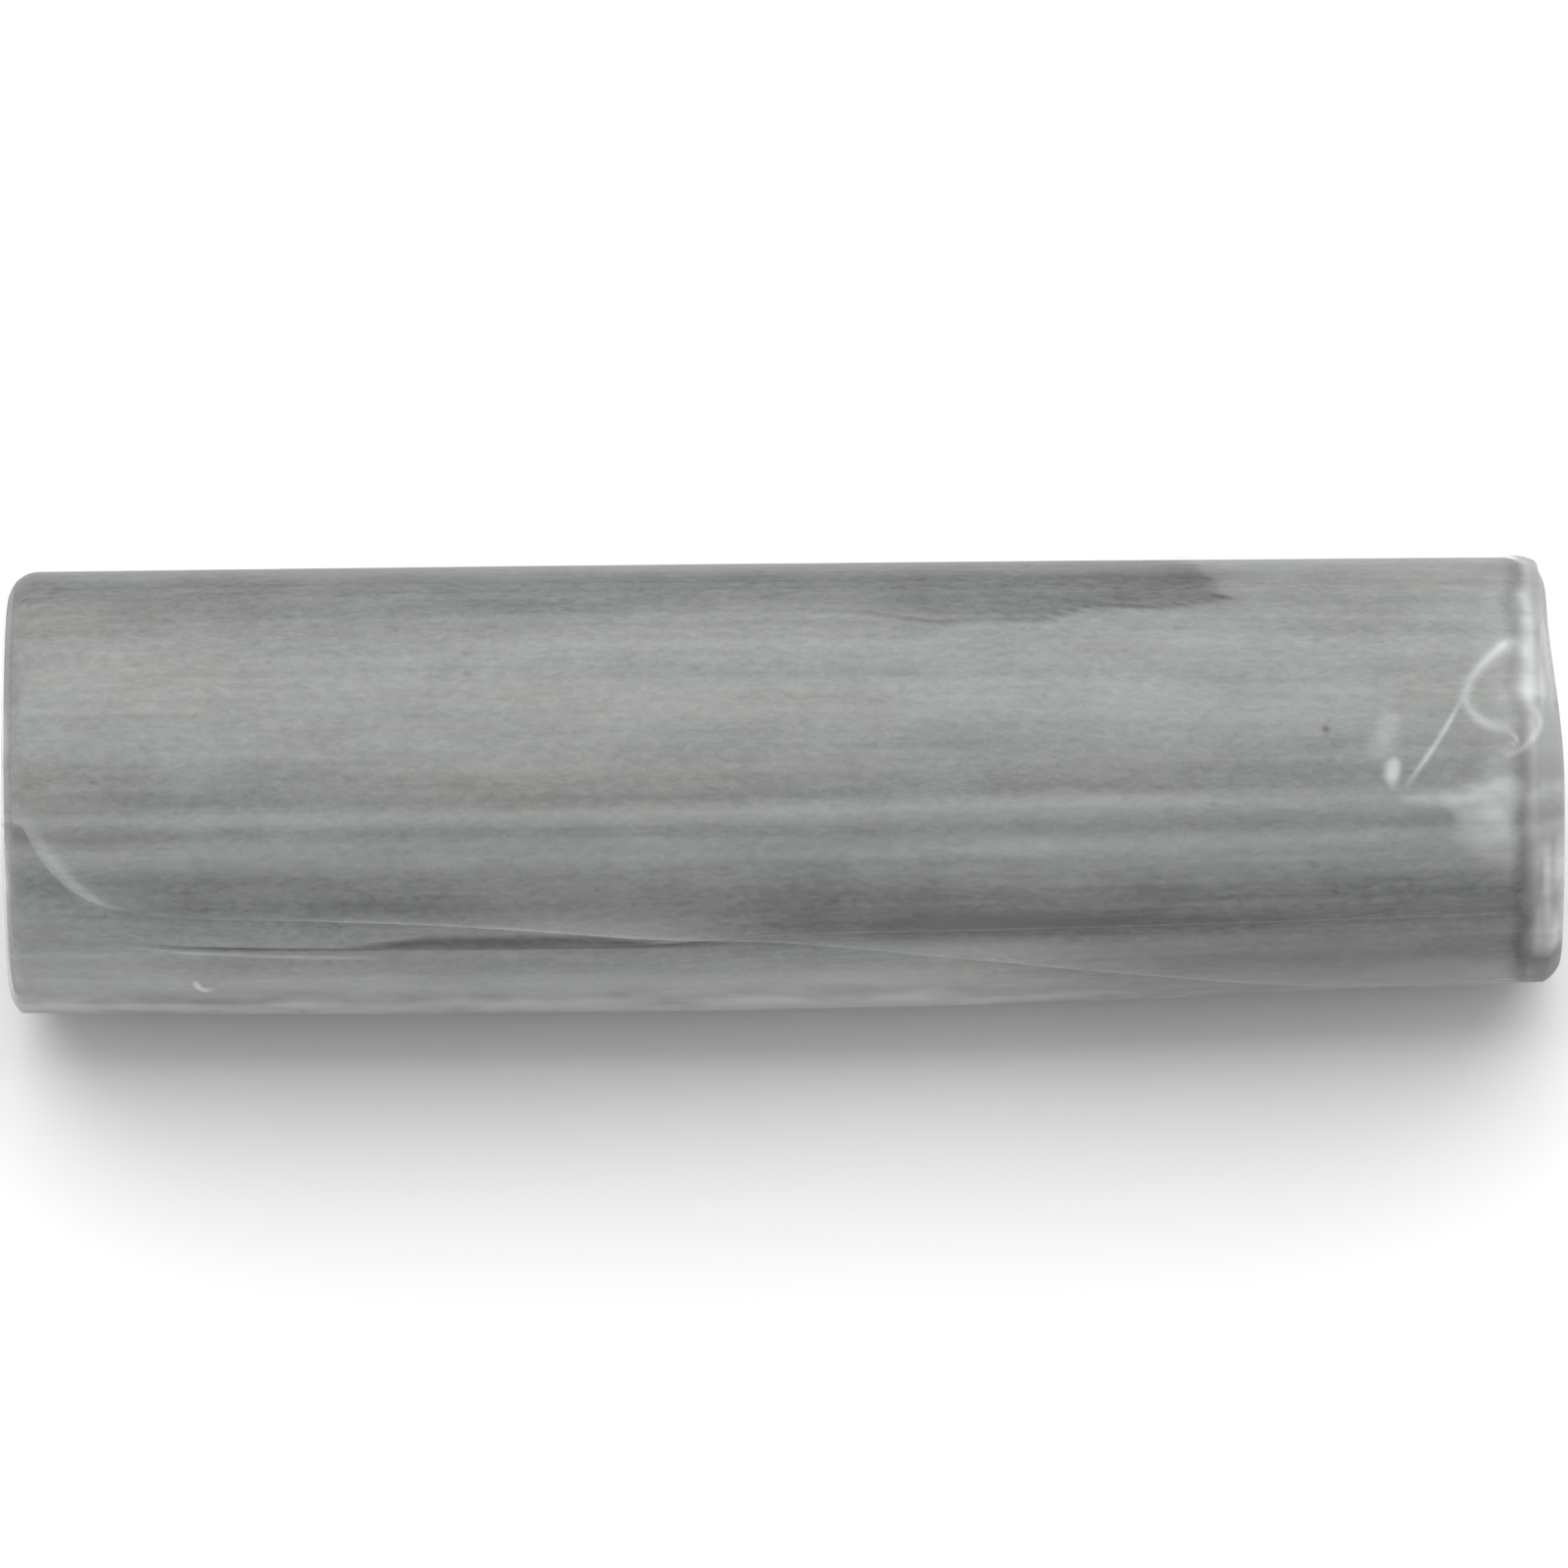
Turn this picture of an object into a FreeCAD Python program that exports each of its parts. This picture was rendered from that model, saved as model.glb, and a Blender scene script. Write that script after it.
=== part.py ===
"""Blending stump: grey felted paper wound into a tight flat-ended roll and sealed in clear film.

The roll lies on its side along X. Z = 0 is the surface it lies on, and the origin is the bottom centre of
its box. Lengths are in millimetres and angles in degrees.
"""

import FreeCAD, Part
import math
import os

from FreeCAD import Placement, Rotation, Vector

doc = FreeCAD.newDocument("blending_stump")

# ---------------------------------------------------------------- driving dimensions
SIZES = {
    "roll_length": (68.0, "cut length of the paper roll"),
    "roll_diameter": (20.0, "paper roll at mid length"),
    "left_narrowing": (0.22, "how much thinner the left end is wound"),
    "right_narrowing": (0.80, "how much thinner the right end is wound"),
    "left_sweep": (0.2, "how far the left end bends back"),
    "right_sweep": (0.7, "how far the right end bends back"),
    "core_diameter": (1.5, "hole left by the winding mandrel"),
    "paper_thickness": (0.46, "soft felted stump paper"),
    "winding_gap": (0.04, "air and paste between two turns"),
    "butt_gap": (0.2, "between the tail of one strip and the start of the next"),
    "seam_angle": (168.0, "where the outer turn ends, from +Y towards +Z"),
    "paste_width": (8.0, "strip of paste under each trailing edge, along the winding"),
    "paste_margin": (3.0, "bare paper left at each end of a paste strip"),
    "edge_radius": (1.4, "rounding of the roll's two rims"),
    "film_gauge": (0.05, "clear wrapping film"),
    "film_slack": (0.03, "between the paper and the film"),
    "lap_width": (32.0, "angle over which the film overlaps itself"),
    "lap_lead": (7.0, "angle from the film's lap edge to the paper's edge"),
    "left_gap": (0.05, "between the paper and the left fold"),
    "right_gap": (1.05, "air trapped under the right fold"),
    "fold_stack": (0.15, "pleats pressed flat on each end"),
    "settle_depth": (0.08, "how far the soft roll has settled, which makes a narrow flat to lie on"),
}
sizes = doc.addObject("Spreadsheet::Sheet", "sizes")
for row, (alias, (value, meaning)) in enumerate(SIZES.items(), start=1):
    sizes.set(f"A{row}", alias)
    sizes.set(f"B{row}", str(value))
    sizes.set(f"C{row}", meaning)
    sizes.setAlias(f"B{row}", alias)
doc.recompute()

AXIS_TO_X = Rotation(Vector(0, 1, 0), 90)  # turns a primitive's own Z axis to the roll's axis
LEFT, RIGHT = -1, 1
STATIONS = ("-1", "0", "1")  # left end, middle and right end, as shares of half the length
RIM_STEPS = 4  # sections after the first one in a quarter-round rim

PITCH = "(sizes.paper_thickness + sizes.winding_gap)"
HALF_LENGTH = "(sizes.roll_length / 2)"
RIM_REACH = f"({HALF_LENGTH} - sizes.edge_radius)"


# ---------------------------------------------------------------- the roll's form, as expressions
def through_ends(left, right, share):
    """The curve that is 0 at mid length, `left` at the left end and `right` at the right end."""
    return f"(({left}) * ({share}) * (({share}) - 1) + ({right}) * ({share}) * (({share}) + 1)) / 2"


def roll_radius(share):
    """The paper's outer radius at a share of half the length."""
    narrowing = through_ends("sizes.left_narrowing", "sizes.right_narrowing", share)
    return f"(sizes.roll_diameter - {narrowing}) / 2"


def roll_sweep(share):
    """How far the axis stands back at a share of half the length."""
    return through_ends("sizes.left_sweep", "sizes.right_sweep", share)


def axis_height(share):
    """The axis height that lays the film on Z = 0, a little settled."""
    return f"{roll_radius(share)} + sizes.film_slack + sizes.film_gauge - sizes.settle_depth"


def value(expression):
    return float(sizes.evalExpression(expression))


# ---------------------------------------------------------------- builders
def ring_section(name, x, radius_offset):
    """A circle round the roll's axis at x, a given distance outside the paper."""
    share = f"({x}) / {HALF_LENGTH}"
    ring = doc.addObject("Part::Circle", name)
    ring.Placement = Placement(Vector(), AXIS_TO_X)
    ring.setExpression("Radius", f"{roll_radius(share)} + {radius_offset}")
    ring.setExpression("Placement.Base.x", x)
    ring.setExpression("Placement.Base.y", roll_sweep(share))
    ring.setExpression("Placement.Base.z", axis_height(share))
    return ring


def loft(name, sections):
    """A smooth closed solid through its sections."""
    body = doc.addObject("Part::Loft", name)
    body.Sections = sections
    body.Solid = True
    body.Ruled = False
    return body


def barrel(name, radius_offset):
    """The roll's form between its two rims."""
    places = (f"-{RIM_REACH}", "0", RIM_REACH)
    return loft(name, [ring_section(f"{name}_{i}", x, radius_offset) for i, x in enumerate(places)])


def rim(name, side, proud, radius_offset):
    """A quarter-round rim that ends in a flat face, standing proud of the paper's end."""
    sections = []
    for step in range(RIM_STEPS + 1):
        turn = math.radians(90 * step / RIM_STEPS)
        x = f"{side} * ({RIM_REACH} + (sizes.edge_radius + {proud}) * {math.sin(turn)})"
        inset = f"sizes.edge_radius * {1 - math.cos(turn)}"
        sections.append(ring_section(f"{name}_{step}", x, f"{radius_offset} - {inset}"))
    return loft(name, sections[::side])


def cut(name, base, tool):
    result = doc.addObject("Part::Cut", name)
    result.Base = base
    result.Tool = tool
    result.Refine = False  # refining joins the half turns' faces and spoils them
    return result


def settled(body, height):
    """The body with what would reach below a height cut off flat."""
    floor = doc.addObject("Part::Box", f"{body.Name}_floor")
    for size in ("Length", "Width", "Height"):
        floor.setExpression(size, "sizes.roll_length * 2")
    for side in "xy":
        floor.setExpression(f"Placement.Base.{side}", "-sizes.roll_length")
    floor.setExpression("Placement.Base.z", f"{height} - sizes.roll_length * 2")
    return cut(f"{body.Name}_settled", body, floor)


# ---------------------------------------------------------------- wound paper
# The winding is a two-centre spiral: half turns, each half a pitch smaller than the one outside it. Half turn 0
# is the outermost and ends at the seam, and every second centre lies half a pitch away from the seam.
def half_turn_radius(k):
    return value(f"sizes.roll_diameter / 2 - {k} * {PITCH} / 2")


def half_turn_count():
    bore = value("sizes.core_diameter / 2 + sizes.paper_thickness")
    return int((half_turn_radius(0) - bore) / value(f"{PITCH} / 2")) + 1


def strip_limits(strips):
    """Splits the half turns, from the outside in, into strips of nearly equal paper length."""
    count = half_turn_count()
    lengths = [math.pi * half_turn_radius(k) for k in range(count)]
    limits = [0]
    for strip in range(1, strips):
        target = sum(lengths) * strip / strips
        limits.append(min(range(count), key=lambda k: abs(sum(lengths[:k]) - target)))
    return limits + [count]


def half_turn_arc(k, depth, start, stop):
    """An arc of half turn k, `depth` under its outer face, between angles counted back from its outer end."""
    seam = math.radians(value("sizes.seam_angle"))
    radius = half_turn_radius(k) - depth
    shift = -(k % 2) * value(PITCH) / 2
    centre = Vector(0, shift * math.cos(seam), shift * math.sin(seam))

    def point(back):
        turn = seam - math.pi * k - back
        return centre + Vector(0, radius * math.cos(turn), radius * math.sin(turn))

    return Part.Arc(point(start), point((start + stop) / 2), point(stop)).toShape()


def strip_start(k):
    """The angle by which a strip's outer end stays clear of the tail of the strip outside it."""
    return value("sizes.butt_gap") / half_turn_radius(k) if k else 0.0


def band_outline(outer_arcs, inner_arcs):
    """Closes two runs of arcs into one outline."""
    tips = [
        Part.makeLine(outer_arcs[0].firstVertex().Point, inner_arcs[0].firstVertex().Point),
        Part.makeLine(outer_arcs[-1].lastVertex().Point, inner_arcs[-1].lastVertex().Point),
    ]
    return Part.Wire(Part.__sortEdges__(outer_arcs + inner_arcs + tips))


def wound_band(name, outline, trim):
    """Lofts an outline along the roll, sized and placed as the roll is at each station."""
    sections = []
    for i, share in enumerate(STATIONS):
        wire = outline.copy()
        wire.scale(value(roll_radius(share)) / half_turn_radius(0), Vector(0, 0, 0))
        x = value(f"{share} * ({HALF_LENGTH} - {trim})")
        wire.translate(Vector(x, value(roll_sweep(share)), value(axis_height(share))))
        section = doc.addObject("Part::Feature", f"{name}_{i}")
        section.Shape = wire
        sections.append(section)
    return loft(name, sections)


def paper_strip(name, first, last):
    """A strip of paper that covers the half turns from first up to last."""
    thickness = value("sizes.paper_thickness")
    starts = [strip_start(first)] + [0.0] * (last - first - 1)
    outer_arcs = [half_turn_arc(k, 0.0, start, math.pi) for k, start in zip(range(first, last), starts)]
    inner_arcs = [half_turn_arc(k, thickness, start, math.pi) for k, start in zip(range(first, last), starts)]
    return wound_band(name, band_outline(outer_arcs, inner_arcs), "0")


def paste_line(name, k):
    """The dried paste that holds down the outer end of the strip that starts with half turn k."""
    start = strip_start(k)
    stop = start + value("sizes.paste_width") / half_turn_radius(k)
    faces = [half_turn_arc(k, value(depth), start, stop) for depth in ("sizes.paper_thickness", PITCH)]
    return wound_band(name, band_outline(faces[:1], faces[1:]), "sizes.paste_margin")


def rim_cutter(name, side):
    """What is pressed away where the paper's end is rounded."""
    core = rim(f"{name}_core", side, "0", "sizes.film_slack")
    collar = doc.addObject("Part::Cylinder", f"{name}_collar")
    collar.Placement = Placement(Vector(), AXIS_TO_X)
    collar.setExpression("Radius", "sizes.roll_diameter")
    collar.setExpression("Height", "sizes.edge_radius * 2")
    start = RIM_REACH if side == RIGHT else f"-{RIM_REACH} - sizes.edge_radius * 2"
    collar.setExpression("Placement.Base.x", start)
    collar.setExpression("Placement.Base.z", axis_height("0"))
    return cut(name, collar, core)


STRIPS = ("outer", "middle", "inner")
limits = strip_limits(len(STRIPS))
nodes = {}
for which, first, last in zip(STRIPS, limits, limits[1:]):
    nodes[f"{which}_sheet"] = paper_strip(f"{which}_winding", first, last)
    nodes[f"{which}_paste_line"] = paste_line(f"{which}_paste", first)
for end, side in (("left", LEFT), ("right", RIGHT)):
    cutter = rim_cutter(f"{end}_rim_cutter", side)
    nodes["outer_sheet"] = cut(f"outer_winding_{end}_rounded", nodes["outer_sheet"], cutter)


# ---------------------------------------------------------------- wrapping film
def film_fold(name, side, gap):
    """The film gathered over one end: a thin skin round the rim and flat pleats on the face."""
    inner = rim(f"{name}_inside", side, gap, "sizes.film_slack")
    outer = rim(f"{name}_outside", side, f"{gap} + sizes.fold_stack", "sizes.film_slack + sizes.film_gauge")
    return cut(name, settled(outer, "0"), settled(inner, "sizes.film_gauge"))


def film_tube(name, inner_offset, outer_offset):
    inner = settled(barrel(f"{name}_inside", inner_offset), "sizes.film_gauge")
    return cut(name, settled(barrel(f"{name}_outside", outer_offset), "0"), inner)


def lap_sector():
    """The slice of the wrap, seen along the roll, where the film lies double."""
    sector = doc.addObject("Part::Cylinder", "lap_sector")
    # the cylinder's own X, Y and Z lie along Y, Z and X, so that its angle is counted as the seam's is
    along_x = Rotation(Vector(0, 1, 0), Vector(0, 0, 1), Vector(1, 0, 0), "XYZ")
    start = value("sizes.seam_angle - sizes.lap_lead - sizes.lap_width")
    sector.Placement = Placement(Vector(), Rotation(Vector(1, 0, 0), start).multiply(along_x))
    sector.setExpression("Radius", "sizes.roll_diameter")
    sector.setExpression("Height", "sizes.roll_length")
    sector.setExpression("Angle", "sizes.lap_width")
    sector.setExpression("Placement.Base.x", f"-{HALF_LENGTH}")
    sector.setExpression("Placement.Base.z", axis_height("0"))
    return sector


def film_lap():
    """The second thickness of film where the wrap overlaps itself, sunk half a gauge into the first."""
    inner, outer = (f"sizes.film_slack + sizes.film_gauge * {layers}" for layers in (0.5, 2))
    lap = doc.addObject("Part::Common", "lap")
    lap.Base = film_tube("lap_tube", inner, outer)
    lap.Tool = lap_sector()
    lap.Refine = False
    return lap


wrap = film_tube("wrap_tube", "sizes.film_slack", "sizes.film_slack + sizes.film_gauge")
film_sleeve = doc.addObject("Part::Fuse", "wrap_with_lap")
film_sleeve.Base = wrap
film_sleeve.Tool = film_lap()
film_sleeve.Refine = False
nodes["film_sleeve"] = film_sleeve
nodes["left_film_fold"] = film_fold("left_fold", LEFT, "sizes.left_gap")
nodes["right_film_fold"] = film_fold("right_fold", RIGHT, "sizes.right_gap")
doc.recompute()

# ---------------------------------------------------------------- the part's own frame
box = FreeCAD.BoundBox()
for feature in nodes.values():
    box.add(feature.Shape.optimalBoundingBox(False, False))
seat = Placement(Vector(-box.Center.x, -box.Center.y, -box.ZMin), Rotation())
for node, feature in nodes.items():
    feature.Label = node
    feature.Placement = seat
doc.recompute()

# ---------------------------------------------------------------- checks and files
failed = [o.Name for o in doc.Objects if {"Invalid", "Error"} & set(o.State)]
if failed:
    raise SystemExit(f"these features failed: {failed}")
os.makedirs("parts", exist_ok=True)
for node, feature in nodes.items():
    shape = feature.Shape
    if shape.isNull() or not shape.isValid():
        raise SystemExit(f"{node} has no valid shape")
    shape.exportStep(f"parts/{node}.step")
    print(f"{node}: {len(shape.Solids)} solid, {len(shape.Faces)} faces, {shape.Volume:.1f} mm3")
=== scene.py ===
import math

import bpy
import numpy as np
from mathutils import Matrix, Vector, noise


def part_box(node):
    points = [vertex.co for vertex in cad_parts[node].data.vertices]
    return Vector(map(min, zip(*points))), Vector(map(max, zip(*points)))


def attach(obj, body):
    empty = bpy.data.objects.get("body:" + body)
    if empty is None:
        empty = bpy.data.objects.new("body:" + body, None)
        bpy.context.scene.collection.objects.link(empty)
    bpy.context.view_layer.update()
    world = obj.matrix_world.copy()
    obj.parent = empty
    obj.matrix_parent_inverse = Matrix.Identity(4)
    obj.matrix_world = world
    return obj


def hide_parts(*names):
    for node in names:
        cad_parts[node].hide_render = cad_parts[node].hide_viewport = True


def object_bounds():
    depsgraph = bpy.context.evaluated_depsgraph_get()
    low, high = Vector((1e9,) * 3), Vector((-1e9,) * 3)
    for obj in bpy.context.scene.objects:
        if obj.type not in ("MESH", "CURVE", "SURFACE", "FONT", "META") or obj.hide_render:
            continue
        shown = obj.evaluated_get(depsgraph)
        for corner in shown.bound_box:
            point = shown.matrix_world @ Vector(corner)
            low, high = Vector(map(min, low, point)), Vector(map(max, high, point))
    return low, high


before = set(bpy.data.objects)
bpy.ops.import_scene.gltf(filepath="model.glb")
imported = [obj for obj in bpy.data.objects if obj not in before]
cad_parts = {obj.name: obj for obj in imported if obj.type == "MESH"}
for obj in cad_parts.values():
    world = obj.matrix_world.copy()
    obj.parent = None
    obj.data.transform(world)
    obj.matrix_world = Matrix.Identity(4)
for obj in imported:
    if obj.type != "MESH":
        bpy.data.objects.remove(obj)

MM = 0.001
cad_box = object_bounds()

# ---------------------------------------------------------------- camera
CAMERA_ELEVATION = math.radians(55)
CAMERA_DISTANCE = 0.92
CAMERA_ROLL = math.radians(-0.62)
SEEN_WIDTH = 69.95 * MM  # what the frame takes in across the roll
SENSOR = 36.0


def make_camera():
    low, high = Vector(cad_box[0]), Vector(cad_box[1])
    aim = (low + high) / 2
    back = Vector((0, -math.cos(CAMERA_ELEVATION), math.sin(CAMERA_ELEVATION)))
    data = bpy.data.cameras.new("camera")
    data.sensor_width = SENSOR
    data.lens = SENSOR * CAMERA_DISTANCE / SEEN_WIDTH
    camera = bpy.data.objects.new("camera", data)
    turn = Matrix.Rotation(CAMERA_ROLL, 4, back) @ back.to_track_quat("Z", "Y").to_matrix().to_4x4()
    camera.matrix_world = Matrix.Translation(aim + back * CAMERA_DISTANCE) @ turn
    bpy.context.scene.collection.objects.link(camera)
    bpy.context.scene.camera = camera


make_camera()

# ---------------------------------------------------------------- the roll's form, in millimetres
# x runs along the roll in the part's own frame. An angle is counted round the roll from +Y towards +Z. "Down"
# angles are counted from the line of the roll that faces the camera, towards the floor.
ROLL_RADIUS = 10.0
LEFT_NARROWING, RIGHT_NARROWING = 0.22, 0.80
LEFT_SWEEP, RIGHT_SWEEP = 0.2, 0.7
SETTLE_DEPTH = 0.08
EDGE_RADIUS = 1.4
PAPER_THICKNESS = 0.46
PITCH = 0.5
SEAM = math.radians(168)
OUTER_HALF_TURNS = 7
FILM_SLACK, FILM_GAUGE = 0.03, 0.05
FACING = math.pi - CAMERA_ELEVATION
SEAM_DOWN = math.degrees(SEAM - FACING)
ARC = math.pi * ROLL_RADIUS / 180  # mm over the surface for one degree round the roll

paper_low, paper_high = (np.array(corner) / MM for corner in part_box("inner_sheet"))
ROLL_MIDDLE = (paper_low[0] + paper_high[0]) / 2
HALF_LENGTH = (paper_high[0] - paper_low[0]) / 2


def through_ends(left, right, x):
    share = (x - ROLL_MIDDLE) / HALF_LENGTH
    return (left * share * (share - 1) + right * share * (share + 1)) / 2


def roll_radius(x):
    return ROLL_RADIUS - through_ends(LEFT_NARROWING, RIGHT_NARROWING, x) / 2


def widest_back():
    """How far back the film reaches when the axis at mid length is at y = 0."""
    x = np.linspace(paper_low[0], paper_high[0], 400)
    return np.max(through_ends(LEFT_SWEEP, RIGHT_SWEEP, x) + roll_radius(x) + FILM_SLACK + FILM_GAUGE)


SEAT_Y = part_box("film_sleeve")[1].y / MM - widest_back()


def axis_y(x):
    return through_ends(LEFT_SWEEP, RIGHT_SWEEP, x) + SEAT_Y


def axis_z(x):
    return roll_radius(x) + FILM_SLACK + FILM_GAUGE - SETTLE_DEPTH


def on_roll(x, angle, radius):
    """Points at a distance from the roll's axis."""
    return np.stack([x, axis_y(x) + radius * np.cos(angle), axis_z(x) + radius * np.sin(angle)], axis=-1)


def down(degrees):
    """The angle round the roll of a line so many degrees below the one that faces the camera."""
    return FACING + np.radians(degrees)


def within_half_turn(degrees):
    """The same direction, as a number from -180 to 180."""
    return np.mod(degrees + 180, 360) - 180


def degrees_down_at(angle):
    """The opposite of down()."""
    return within_half_turn(np.degrees(angle - FACING))


def smooth_step(low, high, value):
    t = np.clip((value - low) / (high - low), 0, 1)
    return t * t * (3 - 2 * t)


def between(value, a, b, c, d):
    """0 up to a, 1 from b to c, and 0 again from d on."""
    return smooth_step(a, b, value) * (1 - smooth_step(c, d, value))


def bell(value, width):
    return np.exp(-((value / width) ** 2))


def reach_from(x, degrees_down, place, size):
    """Distance over the surface from a place, where 1 is the edge of a spot with these half sizes in mm."""
    return np.hypot((x - place[0]) / size[0], (degrees_down - place[1]) * ARC / size[1])


def spot(x, degrees_down, place, size):
    """A soft round mark, 1 in its middle."""
    return bell(reach_from(x, degrees_down, place, size), 1)


def drift(x, angle, scale, seed):
    """Smooth noise from -1 to 1 over the roll's surface: scale is the size of its lumps along and round the roll."""
    along, around = np.broadcast_arrays(x, angle)
    values = [
        noise.noise(Vector((
            a / scale[0] + seed, math.cos(b) * ROLL_RADIUS / scale[1], math.sin(b) * ROLL_RADIUS / scale[1],
        )))
        for a, b in zip(along.ravel(), around.ravel())
    ]
    return np.array(values).reshape(along.shape)


# ---------------------------------------------------------------- mesh helpers
def add_mesh(name, points, faces, material):
    """Makes a smooth piece from points in mm, on the one body."""
    mesh = bpy.data.meshes.new(name)
    mesh.from_pydata((points * MM).tolist(), [], faces)
    mesh.validate()
    mesh.update()
    mesh.polygons.foreach_set("use_smooth", [True] * len(mesh.polygons))
    piece = bpy.data.objects.new(name, mesh)
    bpy.context.scene.collection.objects.link(piece)
    mesh.materials.append(material)
    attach(piece, "root")
    return piece


def paint(piece, name, values):
    """Keeps one number a point on the mesh, for its material to read."""
    attribute = piece.data.attributes.new(name, "FLOAT", "POINT")
    attribute.data.foreach_set("value", np.asarray(values, np.float32).ravel())


def grid_faces(rows, columns, wrap=False):
    """Quads between the points of a grid laid out row by row; with wrap, the last row joins the first."""
    r, c = np.meshgrid(np.arange(rows - (0 if wrap else 1)), np.arange(columns - 1), indexing="ij")
    n = (r + 1) % rows
    quads = np.stack([r * columns + c, r * columns + c + 1, n * columns + c + 1, n * columns + c], axis=-1)
    return quads.reshape(-1, 4).tolist()


# ---------------------------------------------------------------- shader helpers
NOISE_RANGE = (0.3, 0.7)  # where nearly all values of a noise texture lie
CHANNELS = ("Red", "Green", "Blue")


class Nodes:
    """Adds nodes to one tree and links them by socket name."""

    def __init__(self, tree):
        self.tree = tree
        tree.nodes.clear()

    def put(self, value, socket):
        """Links an output to a socket, or sets the socket to a plain value."""
        if isinstance(value, bpy.types.NodeSocket):
            self.tree.links.new(value, socket)
        else:
            socket.default_value = value

    def add(self, kind, **settings):
        node = self.tree.nodes.new(kind)
        for key, value in settings.items():
            if hasattr(node, key):
                setattr(node, key, value)
            else:
                self.put(value, node.inputs[key.replace("_", " ")])
        return node

    def maths(self, operation, *values):
        node = self.add("ShaderNodeMath", operation=operation)
        for value, socket in zip(values, node.inputs):
            self.put(value, socket)
        return node.outputs[0]

    def spread(self, value, low, high, to_low=0.0, to_high=1.0):
        node = self.add("ShaderNodeMapRange", Value=value)
        for name, number in (("From Min", low), ("From Max", high), ("To Min", to_low), ("To Max", to_high)):
            node.inputs[name].default_value = number
        return node.outputs["Result"]

    def blend(self, factor, a, b):
        node = self.add("ShaderNodeMix", data_type="RGBA")
        for name, value in (("Factor", factor), ("A", a), ("B", b)):
            self.put(value, next(s for s in node.inputs if s.name == name and (name == "Factor" or s.type == "RGBA")))
        return next(s for s in node.outputs if s.type == "RGBA")

    def noise(self, stretch, detail=3.0, **settings):
        """Noise with its coordinates in mm, squeezed along each axis."""
        place = object_place(self, stretch)
        return self.add("ShaderNodeTexNoise", Vector=place, Scale=1.0, Detail=detail, **settings).outputs["Fac"]

    def colour(self, levels):
        base = self.add("ShaderNodeCombineColor")
        for channel, level in zip(CHANNELS, levels):
            self.put(level, base.inputs[channel])
        return base.outputs["Color"]

    def attribute(self, name):
        """What paint() has kept on the mesh under this name."""
        return self.add("ShaderNodeAttribute", attribute_name=name).outputs["Fac"]

    def bump(self, height, strength, distance):
        """A bumpy normal; the distance is in mm."""
        node = self.add("ShaderNodeBump", Strength=strength, Distance=distance * MM, Height=height)
        return node.outputs["Normal"]

    def surface(self, shader):
        self.put(shader, self.add("ShaderNodeOutputMaterial").inputs["Surface"])


def node_group(name, outputs, fill):
    """A shader node group with one input, Amount. Outputs are named, and all are plain numbers."""
    tree = bpy.data.node_groups.new(name, "ShaderNodeTree")
    tree.interface.new_socket("Amount", in_out="INPUT", socket_type="NodeSocketFloat").default_value = 1.0
    for socket_name in outputs:
        tree.interface.new_socket(socket_name, in_out="OUTPUT", socket_type="NodeSocketFloat")
    nodes = Nodes(tree)
    amount = nodes.add("NodeGroupInput").outputs["Amount"]
    sink = nodes.add("NodeGroupOutput")
    for value, socket_name in zip(fill(nodes, amount), outputs):
        nodes.put(value, sink.inputs[socket_name])
    return tree


def object_place(nodes, stretch):
    """Object coordinates in millimetres, squeezed along each axis."""
    place = nodes.add("ShaderNodeTexCoord").outputs["Object"]
    return nodes.add("ShaderNodeMapping", Vector=place, Scale=[s / MM for s in stretch]).outputs["Vector"]


def fill_streaks(nodes, amount):
    """Long marks along the roll, from winding and from the film's draw direction."""
    broad = nodes.noise((0.02, 0.55, 0.55))
    fine = nodes.noise((0.035, 2.4, 2.4))
    mixed = nodes.maths("ADD", nodes.maths("MULTIPLY", broad, 0.6), nodes.maths("MULTIPLY", fine, 0.4))
    return [nodes.maths("MULTIPLY", nodes.maths("SUBTRACT", mixed, 0.5), amount)]


def fill_fibre(nodes, amount):
    """Felted fibres: short tangled hairs with darker flecks and soft clouds, in slightly warm and cool patches."""
    hairs = nodes.noise((1.7, 3.6, 3.6), Roughness=0.7, Distortion=0.8)
    flecks = nodes.add("ShaderNodeTexVoronoi", Vector=object_place(nodes, (0.34, 0.5, 0.5)), Scale=1.0)
    clouds = nodes.noise((0.22, 0.5, 0.5))
    dye = nodes.noise((0.05, 0.33, 0.33))
    fleck = nodes.spread(flecks.outputs["Distance"], 0.03, 0.11, 1.0, 0.0)
    soft = nodes.spread(clouds, *NOISE_RANGE, -0.4, 0.4)
    tone = nodes.maths("ADD", nodes.spread(hairs, *NOISE_RANGE, -0.8, 0.8), soft)
    tone = nodes.maths("SUBTRACT", tone, nodes.maths("MULTIPLY", fleck, 1.1))
    return nodes.maths("MULTIPLY", tone, amount), hairs, nodes.spread(dye, 0.35, 0.65, -0.024, 0.024)


streaks = node_group("long_streaks", ["Streak"], fill_streaks)
fibre = node_group("felt_fibre", ["Tone", "Height", "Warmth"], fill_fibre)


def use_group(nodes, tree, amount):
    return nodes.add("ShaderNodeGroup", node_tree=tree, Amount=amount).outputs


def new_material(name):
    material = bpy.data.materials.new(name)
    material.use_nodes = True
    return material, Nodes(material.node_tree)


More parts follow.
